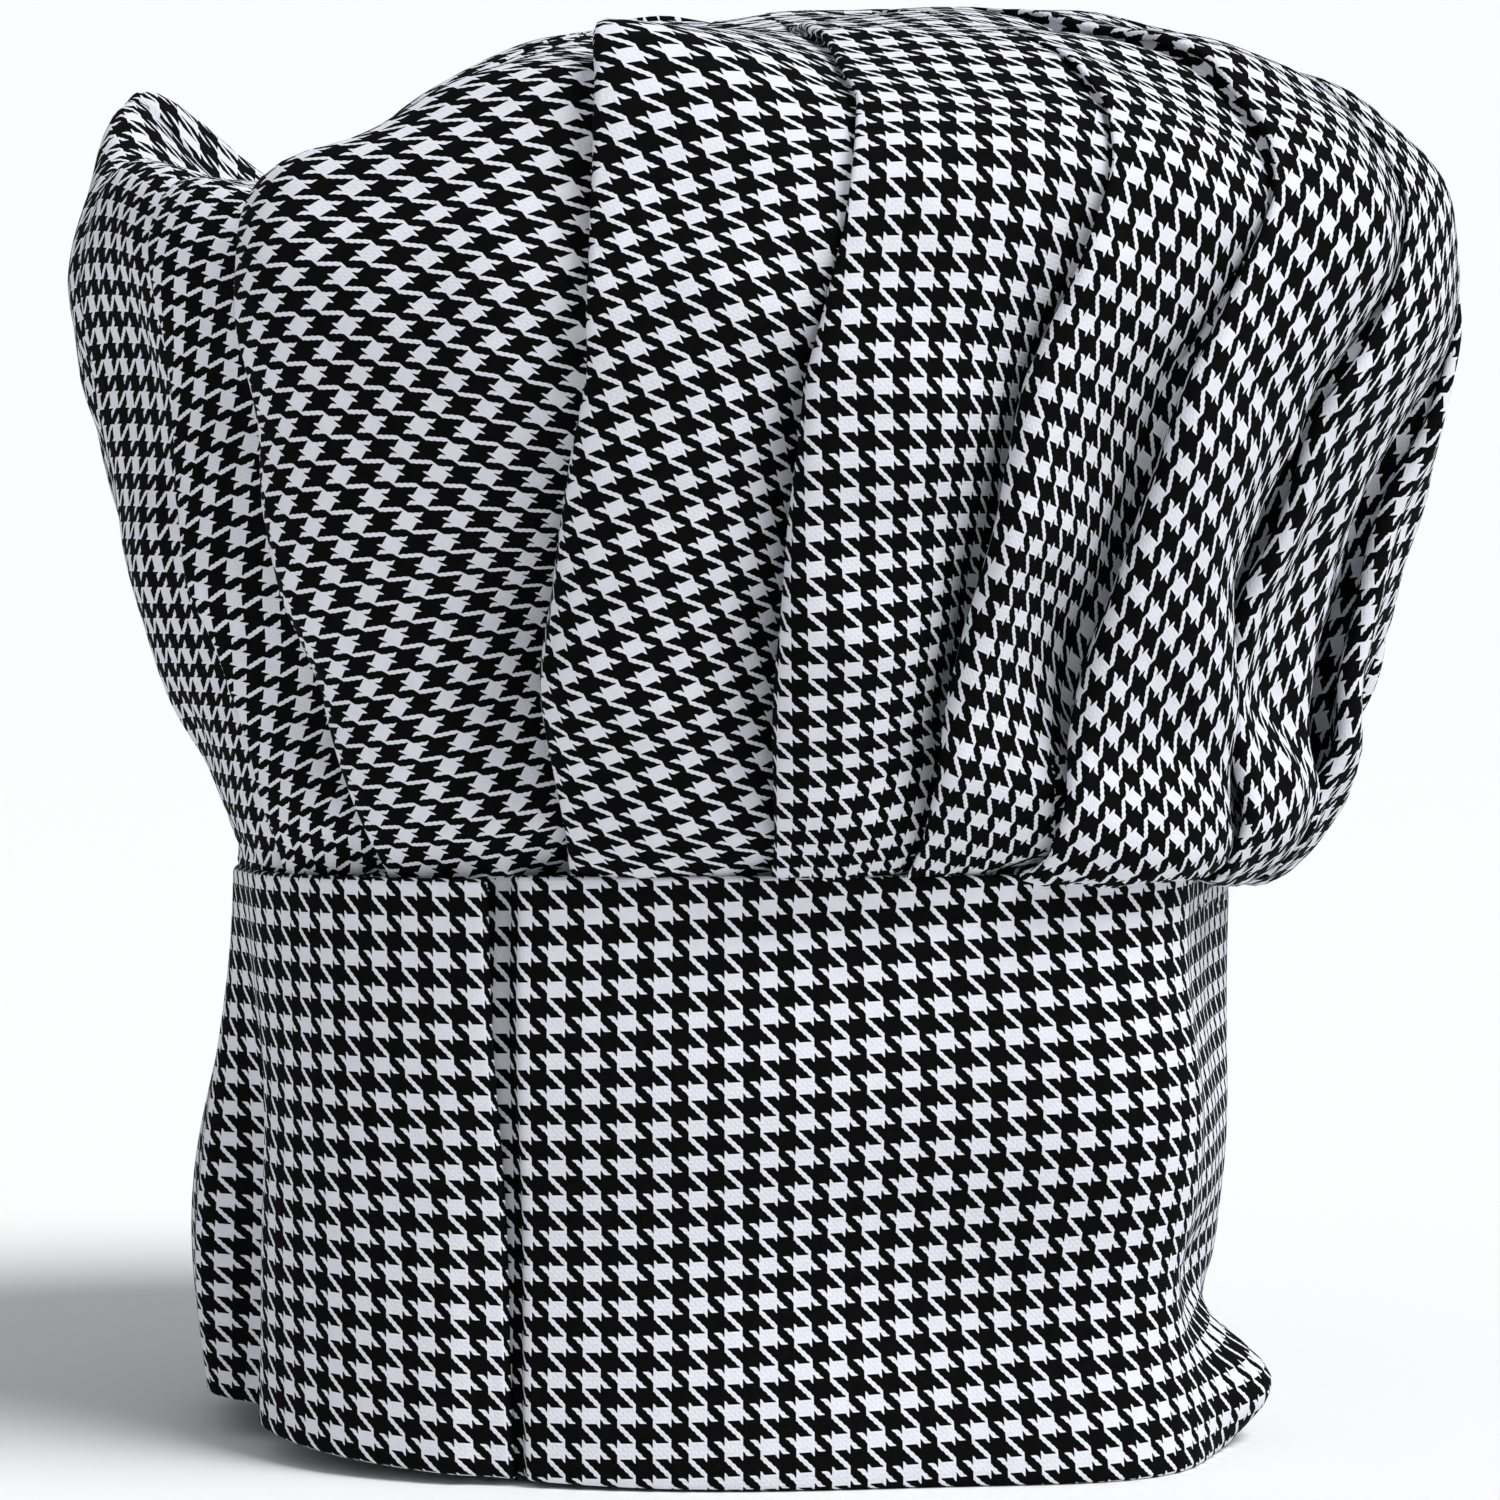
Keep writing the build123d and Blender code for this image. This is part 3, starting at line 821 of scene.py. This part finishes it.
# tapes: the hook tape inside the flap, the loop tape outside the band's lower end
TAPE_LOW, TAPE_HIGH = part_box("hook_tape")[0][2] / MM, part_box("hook_tape")[1][2] / MM
HOOK_TO = FLAP_TO - 4.0
HOOK_FROM = HOOK_TO - 33.0
LOOP_TO = LAP_EDGE - 2.0
LOOP_FROM = LOOP_TO - 40.0
HOOK_DEPTH = INSIDE + CLEAR
LOOP_DEPTH = -1.1                   # its outer face stands this far out from the band's
hook, hook_flat = strip("hook_tape_pile", HOOK_FROM, HOOK_TO, TAPE_LOW, TAPE_HIGH, HOOK_DEPTH, HOOK,
                        TAPE, turned=-0.2, lift=flap_lift)
fit(hook, FLAP, "hook_tape")
loop, loop_flat = strip("loop_tape_pile", LOOP_FROM, LOOP_TO, TAPE_LOW - 2, TAPE_HIGH + 2, LOOP_DEPTH,
                        LOOP, TAPE, turned=0.4)
fit(loop, ROOT, "loop_tape")

# the seam's binding and the blank label, inside the hat
BINDING_DEPTH = 4.4
binding, binding_flat = strip("seam_binding_tape", BAND_FROM, BAND_FROM + 359.0, BAND_HEIGHT - 12.5,
                              BAND_HEIGHT - 0.5, BINDING_DEPTH, BINDING, BINDING_TAPE, turned=-0.6)
fit(binding, ROOT, "crown_seam_binding")
LABEL_AT = 180.0                    # at the back
label_half = float(azimuth_at(run_at(LABEL_AT) + 17.0) - LABEL_AT)
label, label_flat = strip("care_label_cloth", LABEL_AT - label_half, LABEL_AT + label_half,
                          BAND_HEIGHT - 31.0, BAND_HEIGHT - 9.0, INSIDE + CLEAR, LABEL, LABEL_CLOTH,
                          turned=-0.1)
fit(label, ROOT, "care_label")

seam_marks = row_marks(BAND_FROM + 2, BAND_FROM + 356, BAND_HEIGHT - 6.0)
seam_thread = sew("crown_seam_thread", seam_marks, BINDING_DEPTH + BINDING_TAPE, THREAD)
fit(seam_thread, ROOT, "crown_seam_stitching")
rim_thread = sew("rim_thread", row_marks(BAND_FROM + 2, BEND_FROM, 4.0), INSIDE, THREAD)
fit(rim_thread, ROOT, "rim_stitching")
flap_rim = sew("flap_rim_thread", row_marks(LAP_ROOT + 366.0, FLAP_TO - 2, 4.5), INSIDE, THREAD,
               lift=flap_lift)
fit(flap_rim, FLAP, "flap_rim_stitching")
hook_marks = box_marks(HOOK_FROM + 1.6, HOOK_TO - 1.6, TAPE_LOW + 2.5, TAPE_HIGH - 2.5)
hook_thread = sew("hook_tape_thread", hook_marks, HOOK_DEPTH + TAPE, THREAD, lift=flap_lift)
fit(hook_thread, FLAP, "hook_tape_stitching")
loop_marks = box_marks(LOOP_FROM + 1.6, LOOP_TO - 1.6, TAPE_LOW + 0.5, TAPE_HIGH - 0.5)
loop_thread = sew("loop_tape_thread", loop_marks, LOOP_DEPTH, THREAD, inward=False)
fit(loop_thread, ROOT, "loop_tape_stitching")


# --- floor, light and camera -------------------------------------------------------------------
def build_floor():
    half = 6000.0
    corners = [(-half, -half, 0), (half, -half, 0), (half, half, 0), (-half, half, 0)]
    paper = new_material("floor_paper", 0.9, (0.90, 0.90, 0.90))[0]
    make_mesh("floor", corners, [(0, 1, 2, 3)], material=paper)


def soft_sun():
    """One broad light from above, at the right and a little in front."""
    light = bpy.data.lights.new("key", "SUN")
    light.energy = 2.8
    light.angle = radians(28.0)
    obj = bpy.data.objects.new("key", light)
    obj.location = (0.55, -0.42, 0.90)
    obj.rotation_euler = (-obj.location).to_track_quat("-Z", "Y").to_euler()
    bpy.context.scene.collection.objects.link(obj)


def white_studio():
    """A white room: full white where it is seen, dimmer as a light."""
    world = bpy.data.worlds.new("studio")
    bpy.context.scene.world = world
    world.use_nodes = True
    n = Nodes(world.node_tree)
    seen = n.new("ShaderNodeLightPath").outputs["Is Camera Ray"]
    background = world.node_tree.nodes["Background"]
    background.inputs["Color"].default_value = (0.97, 0.98, 1.0, 1.0)
    n.put(background.inputs["Strength"], n.math("MULTIPLY_ADD", seen, 0.57, 0.43))


def build_camera():
    """In front of the hat, at about the middle of its height, as in the photograph."""
    view_width, view_at = 279.5, 825.0      # the picture is so many mm wide at that many mm
    camera = bpy.data.cameras.new("camera")
    camera.sensor_width = 36.0
    camera.lens = 36.0 * view_at / view_width
    obj = bpy.data.objects.new("camera", camera)
    obj.location = (0.005, -0.820, 0.133)
    aim = Vector((0.005, 0.0, 0.1217)) - obj.location
    obj.rotation_euler = aim.to_track_quat("-Z", "Y").to_euler()
    bpy.context.scene.collection.objects.link(obj)
    bpy.context.scene.camera = obj


build_floor()
soft_sun()
build_camera()
white_studio()
bpy.context.scene.view_settings.view_transform = "Standard"
